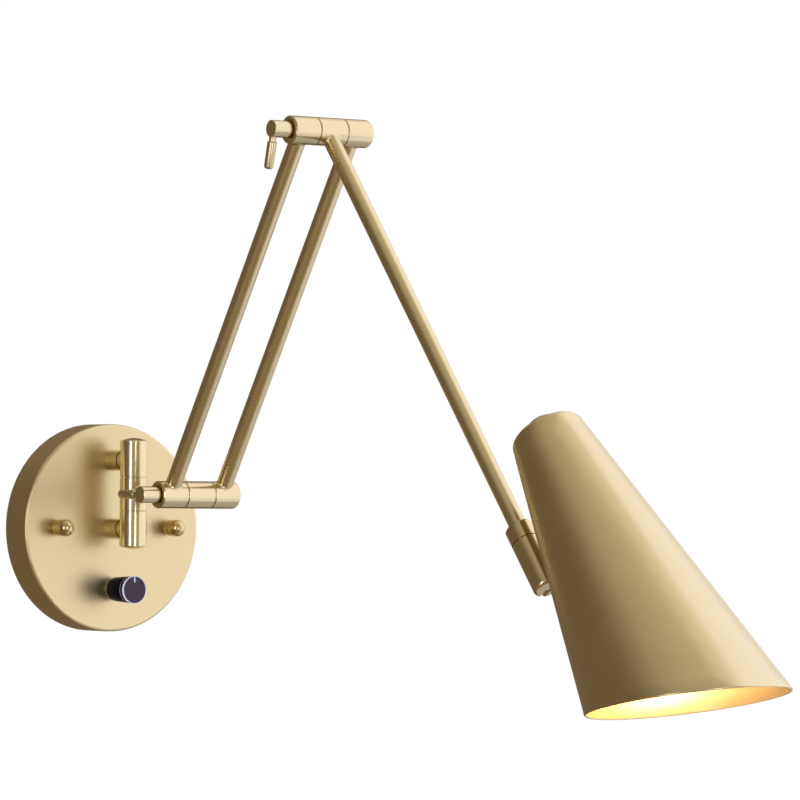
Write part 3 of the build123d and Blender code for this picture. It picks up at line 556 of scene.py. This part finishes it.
def shade_points():
    """Rows of (along, radius) for each column: top, shoulder, outer wall, hem, inner wall."""
    angle = around(SHADE_COLUMNS)
    ones = np.ones_like(angle)
    hem = SHADE_WALL / 2.0
    end = mouth_at(angle) - hem
    turn = np.linspace(0.0, 1.0, 9) * (np.pi / 2.0 + SHADE_HALF_ANGLE)
    corner_u = SHADE_TOP + SHOULDER
    corner_r = cone_radius(corner_u) - SHOULDER / np.cos(SHADE_HALF_ANGLE)
    rows = [(SHADE_TOP * ones, 0.0 * ones), (SHADE_TOP * ones, 0.5 * corner_r * ones)]
    for bend in turn:
        rows.append(
            (
                (corner_u - SHOULDER * np.cos(bend)) * ones,
                (corner_r + SHOULDER * np.sin(bend)) * ones,
            )
        )
    wall_start = rows[-1][0]
    for share in np.linspace(0.0, 1.0, SHADE_ROWS)[1:]:
        u = wall_start + (end - wall_start) * share
        rows.append((u, cone_radius(u)))
    normal = np.array([-np.sin(SHADE_HALF_ANGLE), np.cos(SHADE_HALF_ANGLE)])
    run = np.array([np.cos(SHADE_HALF_ANGLE), np.sin(SHADE_HALF_ANGLE)])
    middle_u, middle_r = end - hem * normal[0], cone_radius(end) - hem * normal[1]
    for bend in np.linspace(np.pi / 2.0, -np.pi / 2.0, 7)[1:]:
        off = hem * (np.sin(bend) * normal + np.cos(bend) * run)
        rows.append((middle_u + off[0], middle_r + off[1]))
    inner_start, inner_r = rows[-1]
    inner_top = SHADE_TOP + SHADE_WALL
    inner_top_r = corner_r + (SHOULDER - SHADE_WALL) * 0.3
    for share in np.linspace(0.0, 1.0, SHADE_ROWS)[1:]:
        u = inner_start + (inner_top + SHOULDER - inner_start) * share
        rows.append((u, inner_r + (u - inner_start) * SHADE_SLOPE))
    last_u, last_r = rows[-1]
    for share in (0.35, 0.7, 1.0):
        rows.append(
            (
                last_u + (inner_top - last_u) * np.sin(share * np.pi / 2.0),
                inner_top_r + (last_r - inner_top_r) * np.cos(share * np.pi / 2.0),
            )
        )
    rows.append((inner_top * ones, 0.0 * ones))
    along = np.array([row[0] for row in rows])[:, :, None]
    radius = np.array([row[1] for row in rows])[:, :, None]
    angle = angle[None, :, None]
    spoke = np.cos(angle) * shade_back + np.sin(angle) * ACROSS
    return shade_origin + along * shade_dir + radius * spoke


shade_shell = closed_surface(
    "shade_shell", [shade_points()], "shade", sprayed_gold, ["shade"]
)
shade_shell.data.materials.append(inner_gold.owner)
centres, facings = face_places(shade_shell)
offset = centres - shade_origin
depth = offset @ shade_dir
outward = offset - depth[:, None] * shade_dir
inside = (np.einsum("ij,ij->i", outward, facings) < 0.0) | (
    (facings @ shade_dir > 0.9) & (depth < 0.0)
)
shade_shell.data.polygons.foreach_set("material_index", inside.astype(np.int32))
print("shade faces:", len(inside), "of them inside:", int(inside.sum()))

# %% [markdown]
# ## The cap on the shade
#
# A low round cap closes the top of the shade over the nut that holds the lamp holder. It is
# turned, so it is one profile: a short skirt, a soft shoulder and a slightly crowned top.

# %% Top cap
CAP_R, CAP_HEIGHT = 8.8, 7.0
CAP_CROWN, CAP_CROWN_R = 0.3, 3
cap_profile = MM * rounded(
    [
        (0, 0, 0),
        (0, CAP_R, 0.25),
        (-CAP_HEIGHT + CAP_CROWN, CAP_R, 1.6),
        (-CAP_HEIGHT, CAP_CROWN_R, 1),
        (-CAP_HEIGHT, 0, 0),
    ]
)
shade_cap = closed_surface(
    "shade_cap",
    [turned(cap_profile, shade_origin + SHADE_TOP * shade_dir, shade_dir)],
    "shade",
    turned_on_shade,
    ["shade_top_cap"],
)
print("cap height", CAP_HEIGHT, "mm")

# %% [markdown]
# ## Cap nuts
#
# Two turned nuts hold the canopy. Each has a thinner neck, a plain base, a narrow groove and a
# tall dome that is nearly half a ball. The dome's rows follow a quarter circle.

# %% Domed cap nuts
FACE_Y = -20.5 * MM
NUT_SPACING = 77.6 * MM
NUT_NECK_R, NUT_NECK = 3.5, 3.0
NUT_BASE_R, NUT_BASE_HEIGHT, NUT_GROOVE = 4.7, 3.4, 0.5
NUT_DOME_R, NUT_SKIRT = 4.9, 2.7
base_top = NUT_NECK + NUT_BASE_HEIGHT
dome_start = base_top + NUT_GROOVE
quarter = np.linspace(0.0, np.pi / 2.0, 12)
dome_rows = np.column_stack(
    [
        dome_start + NUT_SKIRT + NUT_DOME_R * np.sin(quarter),
        NUT_DOME_R * np.cos(quarter),
    ]
)
nut_rows = rounded(
    [
        (0, 0, 0),
        (0, NUT_NECK_R, 0.1),
        (NUT_NECK, NUT_NECK_R, 0.1),
        (NUT_NECK, NUT_BASE_R, 0.2),
        (base_top, NUT_BASE_R, 0.25),
        (base_top, NUT_DOME_R - NUT_GROOVE, 0.1),
        (dome_start, NUT_DOME_R - NUT_GROOVE, 0.1),
        (dome_start, NUT_DOME_R, 0.25),
        (dome_start + NUT_SKIRT, NUT_DOME_R, 0),
    ]
)
nut_profile = MM * np.vstack([nut_rows, dome_rows[1:]])
nut_grids = [
    turned(nut_profile, np.array([x, FACE_Y, 0.0]), (0, -1, 0), columns=64)
    for x in (-NUT_SPACING / 2.0, NUT_SPACING / 2.0)
]
# The nuts wear the darker gold that is painted shade.
domed_nuts = closed_surface(
    "domed_nuts", nut_grids, "base", nut_gold_darkened_as_shade, ["cap_nuts"]
)
print("nut height", nut_profile[-1, 0] / MM, "mm")

# %% [markdown]
# ## The dimmer knob
#
# The knob is a slightly flared black cylinder. A thin grey band sits in a groove near its
# front, and a ring coloured pale as a painted highlight lies in a step at the front corner. The face
# inside the ring is a little lower. Its lighter brownish colour is partly its own and partly a
# painted reflection.
# From behind it is bored for the shaft and the nut, so the profile runs from the bottom of the
# bore, out over the whole knob and back to the middle of the face.

# %% Knob and its ring, pale as a painted highlight
KNOB_START, KNOB_LENGTH, KNOB_Z = 24.8, 19.2, joints["knob_turn"]["pos_m"][2]
KNOB_REAR_R, KNOB_FRONT_R = 6.9, 8.0
RING_OUT_R, RING_IN_R, RING_HEIGHT, FACE_SINK = 8.0, 7.6, 1.6, 0.3
BAND_FROM, BAND_WIDTH, BAND_DEPTH = 14.8, 0.6, 0.6
SHAFT_R, SHAFT_REACH, NUT_ROOM_R, NUT_ROOM = 3.0, 14.4, 5.4, 3.375


def knob_radius(along):
    """Radius of the flared knob: it grows evenly from the rear to the front."""
    return KNOB_REAR_R + (KNOB_FRONT_R - KNOB_REAR_R) * along / KNOB_LENGTH


band_end = BAND_FROM + BAND_WIDTH
knob_profile = rounded(
    [
        (SHAFT_REACH, 0, 0),
        (SHAFT_REACH, SHAFT_R, 0),
        (NUT_ROOM, SHAFT_R, 0.1),
        (NUT_ROOM, NUT_ROOM_R, 0.1),
        (0, NUT_ROOM_R, 0.15),
        (0, KNOB_REAR_R, 0.35),
        (BAND_FROM, knob_radius(BAND_FROM), 0.12),
        (BAND_FROM, knob_radius(BAND_FROM) - BAND_DEPTH, 0),
        (band_end, knob_radius(band_end) - BAND_DEPTH, 0),
        (band_end, knob_radius(band_end), 0.12),
        (KNOB_LENGTH - RING_HEIGHT, knob_radius(KNOB_LENGTH - RING_HEIGHT), 0),
        (KNOB_LENGTH - RING_HEIGHT, RING_IN_R, 0),
        (KNOB_LENGTH - FACE_SINK, RING_IN_R, 0.1),
        (KNOB_LENGTH - FACE_SINK, 0, 0),
    ]
)
knob_rear = np.array([0.0, -KNOB_START * MM, KNOB_Z])
knob_body = closed_surface(
    "knob_body",
    [turned(MM * knob_profile, knob_rear, (0, -1, 0))],
    "knob",
    black_gloss,
    ["dimmer_knob"],
)
knob_body.data.materials.append(knob_face_with_painted_reflection)
FACE_MARGIN = 0.05
centres, facings = face_places(knob_body)
on_face = (knob_rear[1] - centres[:, 1]) / MM > KNOB_LENGTH - FACE_SINK - FACE_MARGIN
on_face &= facings[:, 1] < -0.9
knob_body.data.polygons.foreach_set("material_index", on_face.astype(np.int32))

ring_angle = around(20)
ring_middle_r, ring_half = (RING_OUT_R + RING_IN_R) / 2.0, (RING_OUT_R - RING_IN_R) / 2.0
ring_profile = np.column_stack(
    [
        KNOB_LENGTH - RING_HEIGHT / 2.0 + RING_HEIGHT / 2.0 * squared_off(np.sin(ring_angle)),
        ring_middle_r + ring_half * squared_off(np.cos(ring_angle)),
    ]
)
face_ring = closed_surface(
    "face_ring",
    [turned(MM * ring_profile, knob_rear, (0, -1, 0))],
    "knob",
    ring_pale_as_painted_highlight,
    ["knob_bezel"],
    ring=True,
)

POINTER_WIDTH, POINTER_LENGTH, POINTER_INSET = 0.9, 3.0, 0.3
POINTER_PROUD, POINTER_SUNK = 0.05, 0.35
pointer_angle = around(40)
pointer_x = POINTER_WIDTH / 2.0 * squared_off(np.cos(pointer_angle))
pointer_middle = RING_IN_R - POINTER_INSET - POINTER_LENGTH / 2.0
pointer_z = pointer_middle + POINTER_LENGTH / 2.0 * squared_off(np.sin(pointer_angle))
face_along = KNOB_LENGTH - FACE_SINK
pointer_rows = []
for along, spread in (
    (-POINTER_SUNK, 0.0),
    (-POINTER_SUNK, 1.0),
    (POINTER_PROUD, 1.0),
    (POINTER_PROUD, 0.0),
):
    x = pointer_x * spread
    z = pointer_middle + (pointer_z - pointer_middle) * spread
    pointer_rows.append(np.column_stack([x, np.full_like(x, -(face_along + along)), z]))
pointer_mark = closed_surface(
    "pointer_mark",
    [knob_rear + MM * np.array(pointer_rows)],
    "knob",
    white_mark,
    ["knob_pointer"],
)
print("knob from", KNOB_START, "to", KNOB_START + KNOB_LENGTH, "mm off the wall")

# %% [markdown]
# ## Clamp levers
#
# Each clamp pin carries a short round lever on a thinner neck. The tip is nearly a dome and
# the shoulder behind it is softly rounded. Both levers are the same turned piece, pointing
# in their own directions.

# %% The two levers
LEVER_X = -36.0 * MM
LEVER_R, LEVER_NECK_R, LEVER_NECK, LEVER_LENGTH = 2.6, 2.0, 7.0, 22.3
lever_profile = MM * rounded(
    [
        (0, 0, 0),
        (0, LEVER_NECK_R, 0),
        (LEVER_NECK, LEVER_NECK_R, 0.25),
        (LEVER_NECK + 0.3, LEVER_R, 0.35),
        (LEVER_LENGTH, LEVER_R, 1.7),
        (LEVER_LENGTH, 0, 0),
    ],
    steps=8,
)
LOWER_LEVER_RISE, ELBOW_LEVER_RISE = 0.5, -77.0
for barrel, centre, angle in (
    ("lower", lower_hinge, LOWER_LEVER_RISE),
    ("elbow", elbow, ELBOW_LEVER_RISE),
):
    turn = np.radians(angle)
    lever_dir = np.array([0.0, np.cos(turn), np.sin(turn)])
    turned_lever = satin_gold(f"turned gold {barrel} lever", lever_dir, roughness=0.24)
    closed_surface(
        f"{barrel}_lever",
        [turned(lever_profile, centre + ACROSS * LEVER_X, lever_dir, columns=48)],
        f"{barrel}_clamp",
        turned_lever,
        [f"{barrel}_clamp_lever"],
    )
print("lever length", LEVER_LENGTH, "mm")

# %% [markdown]
# ## Brazed joints
#
# Where a tube meets a barrel the real lamp has a small smooth fillet of filler metal. Round the
# tube the barrel's surface falls away, so the joint is a saddle: at an angle round the tube the
# barrel lies at the square root of barrel radius squared minus the sideways distance squared. The
# fillet is a closed ring whose section is a hollow curve from the tube to the barrel.

# %% Fillets round the saddles
BARREL_R, TUBE_R = 7.75 * MM, 4.6 * MM
FILLET = 1.1 * MM
SUNK = 0.15 * MM


def saddle_fillet(centre, direction, barrel_axis, tube_radius, reach=FILLET):
    """A ring of filler metal. Its section has five points on a hollow curve, the quadratic blend
    of tube point, corner and barrel point, and one point hidden in the metal."""
    direction, barrel_axis = np.asarray(direction, float), np.asarray(barrel_axis, float)
    sideways = np.cross(direction, barrel_axis)
    angle = around(72)
    # cos runs along the barrel, sin across it, where its surface falls away

    def on_barrel(radius):
        return np.sqrt(BARREL_R**2 - (radius * np.sin(angle)) ** 2)

    tube_point = np.stack([on_barrel(tube_radius) + reach, np.full_like(angle, tube_radius)])
    corner = np.stack([on_barrel(tube_radius), np.full_like(angle, tube_radius)])
    outer_r = min(tube_radius + reach, BARREL_R * 0.985)
    barrel_point = np.stack([on_barrel(outer_r), np.full_like(angle, outer_r)])
    rows = []
    for blend in np.linspace(0.0, 1.0, 6):
        middle_weight = 2.0 * blend * (1.0 - blend)
        rows.append((1 - blend) ** 2 * tube_point + middle_weight * corner + blend**2 * barrel_point)
    rows[0] = tube_point - np.array([[0.0], [SUNK]])
    rows[-1] = barrel_point - np.array([[SUNK], [0.0]])
    rows.append(corner - SUNK * 3.0)
    rows = np.array(rows)
    along, radius = rows[:, 0, :, None], rows[:, 1, :, None]
    spoke = np.cos(angle)[:, None] * barrel_axis + np.sin(angle)[:, None] * sideways
    return centre + along * direction + radius * spoke


UPRIGHT = np.array([0.0, 0.0, 1.0])
OUTWARD = np.array([0.0, -1.0, 0.0])
barrel_middle = np.array(joints["base_swing"]["pos_m"])
TUBE_FROM_MIDDLE = 17.6 * MM
tube_side = TUBE_FROM_MIDDLE * ACROSS
saddles = {
    "lower_arm": [
        (lower_hinge - tube_side, lower_dir, ACROSS),
        (lower_hinge + tube_side, lower_dir, ACROSS),
        (elbow - tube_side, -lower_dir, ACROSS),
        (elbow + tube_side, -lower_dir, ACROSS),
    ],
    "upper_arm": [(elbow, upper_dir, ACROSS)],
    "swing": [(barrel_middle, OUTWARD, UPRIGHT), (lower_hinge, -OUTWARD, ACROSS)],
}
for body, places in saddles.items():
    closed_surface(
        f"{body}_fillets",
        [saddle_fillet(*place, TUBE_R) for place in places],
        body,
        sprayed_gold,
        ring=True,
    )
POST_NECK_R, POST_FILLET = 5.7 * MM, 0.8 * MM
post_heights = (39.0 * MM, -0.5 * MM)
closed_surface(
    "post_fillets",
    [
        saddle_fillet(
            np.array([0.0, barrel_middle[1], z]), -OUTWARD, UPRIGHT, POST_NECK_R, POST_FILLET
        )
        for z in post_heights
    ],
    "base",
    turned_outward,
    ring=True,
)
print("brazed joints:", sum(len(places) for places in saddles.values()) + len(post_heights))

# %% [markdown]
# ## Light
#
# Satin metal shows what stands around it, so the lights are placed as a product photographer
# would place them. A very large softbox fills the right side and reaches over the lamp, and a low
# reflector lifts the undersides. Two narrow strips near the camera draw the thin bright lines
# down the barrels. A lamp hides nothing behind it, so its reflection adds to what stands there. A
# graded screen wraps round the left, the top and the front, and only reflections see it: it is
# dark and warm at the left and grows lighter to the right and upwards, so that round metal gets
# its dark side.

# %% Softboxes and the graded screen
LOOK_AT = np.array([0.0, -0.27, 0.06])
flat_back = np.cross(level_right, [0.0, 0.0, 1.0])


def from_view(turn_deg, rise_deg):
    """Unit vectors at angles right of the camera's axis and above the horizon."""
    turn, rise = np.radians(turn_deg)[..., None], np.radians(rise_deg)[..., None]
    level = np.cos(turn) * flat_back + np.sin(turn) * level_right
    return np.cos(rise) * level + np.sin(rise) * np.array([0.0, 0.0, 1.0])


def facing(place, target):
    """A matrix that puts an object at a place with its -Z towards a target."""
    away = (place - target) / np.linalg.norm(place - target)
    side = np.cross([0.0, 0.0, 1.0], away)
    side /= np.linalg.norm(side)
    matrix = np.eye(4)
    matrix[:3, :3] = np.column_stack([side, np.cross(away, side), away])
    matrix[:3, 3] = place
    return Matrix(matrix.tolist())


def softbox(name, turn_deg, rise_deg, distance, width, height, radiance, colour):
    """A rectangular area light. Its power is pi x radiance x area."""
    lamp = bpy.data.lights.new(name, "AREA")
    lamp.shape = "RECTANGLE"
    lamp.size, lamp.size_y = width, height
    lamp.energy = np.pi * radiance * width * height
    lamp.color = colour
    holder = bpy.data.objects.new(name, lamp)
    place = LOOK_AT + distance * from_view(turn_deg, rise_deg)
    holder.matrix_world = facing(place, LOOK_AT)
    bpy.context.scene.collection.objects.link(holder)


DAY_WHITE = (0.66, 0.74, 1.0)
softbox("key at the right", 101, 14, 1.8, 3.2, 4.4, 0.80, (0.46, 0.56, 1.0))
softbox("low reflector at the right", 76, -38, 1.3, 1.9, 0.9, 0.72, (0.72, 0.78, 1.0))
softbox("strip right of the camera", 21, 0, 2.0, 0.28, 1.2, 8.5, DAY_WHITE)
softbox("strip left of the camera", -28, 0, 2.0, 0.28, 1.2, 10.0, DAY_WHITE)


def eased(value, start, end):
    """0 before start, 1 after end and a smooth S between them: 3t squared less 2t cubed."""
    share = np.clip((value - start) / (end - start), 0.0, 1.0)[..., None]
    return share * share * (3.0 - 2.0 * share)


def screen_colour(turn_deg, rise_deg):
    """Dark and warm at the left, mid grey in front, lighter above and dark warm below."""
    left, front = np.array([0.20, 0.16, 0.11]), np.array([0.40, 0.40, 0.37])
    above, below = np.array([0.62, 0.59, 0.52]), np.array([0.31, 0.24, 0.14])
    colour = left + (front - left) * eased(turn_deg, -70.0, -15.0)
    colour = colour + (above - colour) * eased(rise_deg, 22.0, 72.0)
    low = eased(-rise_deg, 15.0, 42.0) * eased(turn_deg, -90.0, -40.0)
    return colour + (below - colour) * low


SCREEN_R, SCREEN_BOTTOM = 2.2, -0.86
SCREEN_COLUMNS, SCREEN_ROWS = 82, 54
turns, rises = np.meshgrid(
    np.linspace(-188.0, 54.0, SCREEN_COLUMNS), np.linspace(-78.0, 80.0, SCREEN_ROWS)
)
screen_points = LOOK_AT + SCREEN_R * from_view(turns, rises)
reach_down = (LOOK_AT[2] - SCREEN_BOTTOM) / np.maximum(LOOK_AT[2] - screen_points[..., 2], 1e-6)
screen_points = LOOK_AT + (screen_points - LOOK_AT) * np.minimum(reach_down, 1.0)[..., None]
screen_mesh = bpy.data.meshes.new("graded screen")
row = np.arange(SCREEN_ROWS - 1)[:, None] * SCREEN_COLUMNS
corner = row + np.arange(SCREEN_COLUMNS - 1)[None, :]
above = corner + SCREEN_COLUMNS
screen_faces = np.stack([corner, above, above + 1, corner + 1], axis=-1).reshape(-1, 4)
screen_mesh.from_pydata(screen_points.reshape(-1, 3).tolist(), [], screen_faces.tolist())
tones = np.ones((turns.size, 4))
tones[:, :3] = screen_colour(turns, rises).reshape(-1, 3)
screen_mesh.color_attributes.new("tone", "FLOAT_COLOR", "POINT").data.foreach_set(
    "color", tones.ravel()
)
graded = Recipe(bpy.data.materials.new("graded screen"), Roughness=1.0, Emission_Strength=1.0)
graded.shader.inputs["Base Color"].default_value = (0.0, 0.0, 0.0, 1.0)
graded.shader.inputs["Specular IOR Level"].default_value = 0.0
graded.feed("Emission Color", graded.node("ShaderNodeAttribute", {"attribute_name": "tone"}))
screen_mesh.materials.append(graded.owner)
screen = bpy.data.objects.new("graded screen", screen_mesh)
screen.visible_camera = screen.visible_diffuse = screen.visible_shadow = False
screen.visible_transmission = False
bpy.context.scene.collection.objects.link(screen)
print("screen points:", turns.size)

# %% [markdown]
# ## Background and floor
#
# The world is plain white for the camera, for reflections and for what is seen through glass,
# and milder as the light that it sheds. The floor is a plain pale disc well below the lamp.

# %% World and floor
world = bpy.data.worlds.new("studio")
bpy.context.scene.world = world
studio = Recipe(world)
rays = studio.tree.nodes.new("ShaderNodeLightPath")
camera_ray, glossy_ray, through_ray = [
    Wire(studio, rays.outputs[name])
    for name in ("Is Camera Ray", "Is Glossy Ray", "Is Transmission Ray")
]
seen = studio.node(
    "ShaderNodeMath",
    {"operation": "MINIMUM"},
    {0: camera_ray + glossy_ray + through_ray, 1: 1.0},
)
DAYLIGHT = 0.45
studio.feed("Strength", seen * (1.0 - DAYLIGHT) + DAYLIGHT)
studio.shader.inputs["Color"].default_value = (1.0, 1.0, 1.0, 1.0)

FLOOR_Z, FLOOR_R = -0.9, 3.0
floor_mesh = bpy.data.meshes.new("floor")
rim = around(96)
floor_points = np.column_stack(
    [FLOOR_R * np.cos(rim), FLOOR_R * np.sin(rim) + LOOK_AT[1], np.full_like(rim, FLOOR_Z)]
)
floor_mesh.from_pydata(floor_points.tolist(), [], [tuple(range(len(rim)))])
pale_floor = Recipe(bpy.data.materials.new("pale floor"), Roughness=0.9)
pale_floor.shader.inputs["Base Color"].default_value = (0.86, 0.86, 0.85, 1.0)
floor_mesh.materials.append(pale_floor.owner)
floor = bpy.data.objects.new("floor", floor_mesh)
bpy.context.scene.collection.objects.link(floor)
print("floor at", FLOOR_Z, "m")

# %% [markdown]
# ## The lit bulb
#
# The bulb glows, and the light that fills the shade comes from just below it. One warm point lamp
# stands on the shade's axis under the bulb. A second one, nearly white, stands nearer the mouth
# and off the axis towards the far wall, which is brightest there.

# %% Warm light in the shade
BULB_TIP = SHADE_MOUTH - 88.0 * MM
WARM, NEARLY_WHITE = (1.0, 0.66, 0.30), (1.0, 0.95, 0.95)
far_side = -flat_back + (flat_back @ shade_dir) * shade_dir
far_side /= np.linalg.norm(far_side)


def glow(name, below_tip, off_axis, watts, colour):
    """A small point lamp under the bulb, so far off the axis towards the far wall."""
    lamp = bpy.data.lights.new(name, "POINT")
    lamp.energy = watts
    lamp.color = colour
    lamp.shadow_soft_size = 6 * MM
    holder = bpy.data.objects.new(name, lamp)
    place = shade_origin + (BULB_TIP + below_tip * MM) * shade_dir + off_axis * MM * far_side
    holder.location = place.tolist()
    bpy.context.scene.collection.objects.link(holder)


GLOW_WATTS = 0.055
glow("bulb glow", 14, 0, GLOW_WATTS, WARM)
glow("mouth glow", 52, 13, GLOW_WATTS, NEARLY_WHITE)
print("bulb tip", round(BULB_TIP / MM, 1), "mm past the tilt hinge")
